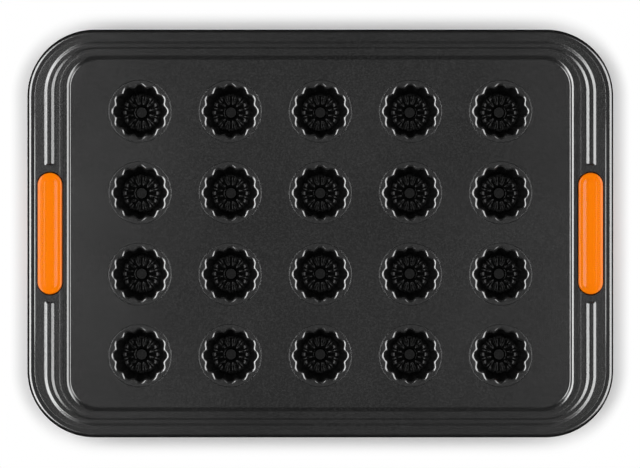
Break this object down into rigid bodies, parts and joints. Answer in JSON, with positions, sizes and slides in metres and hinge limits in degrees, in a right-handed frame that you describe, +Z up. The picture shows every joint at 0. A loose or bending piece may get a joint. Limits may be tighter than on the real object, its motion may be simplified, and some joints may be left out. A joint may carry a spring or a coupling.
{
  "type": "mini canele pan",
  "caption": "Coated steel baking tray with a grid of deep fluted cups for small caneles, a stepped rim with a raised rib, and silicone grips on the short ends.",
  "frame": {"origin": "the middle of the pan's outline, on the plane of the cups' feet", "axes": "+X along the long sides, towards the right grip; +Y across the pan; +Z up, out of the cups"},
  "size_m": [0.4, 0.2784, 0.0339],
  "materials": {
    "tray_coating": "satin non-stick coating with a fine grain",
    "cup_coating": "satin non-stick coating, a little glossier on the drawn walls",
    "grip_silicone": "smooth matt silicone"
  },
  "bodies": {
    "root": {"tray": "tray_coating", "cup_row1_col1": "cup_coating", "cup_row1_col2": "cup_coating", "cup_row1_col3": "cup_coating", "cup_row1_col4": "cup_coating", "cup_row1_col5": "cup_coating", "cup_row2_col1": "cup_coating", "cup_row2_col2": "cup_coating", "cup_row2_col3": "cup_coating", "cup_row2_col4": "cup_coating", "cup_row2_col5": "cup_coating", "cup_row3_col1": "cup_coating", "cup_row3_col2": "cup_coating", "cup_row3_col3": "cup_coating", "cup_row3_col4": "cup_coating", "cup_row3_col5": "cup_coating", "cup_row4_col1": "cup_coating", "cup_row4_col2": "cup_coating", "cup_row4_col3": "cup_coating", "cup_row4_col4": "cup_coating", "cup_row4_col5": "cup_coating", "grip_left": "grip_silicone", "grip_right": "grip_silicone"}
  },
  "joints": []
}
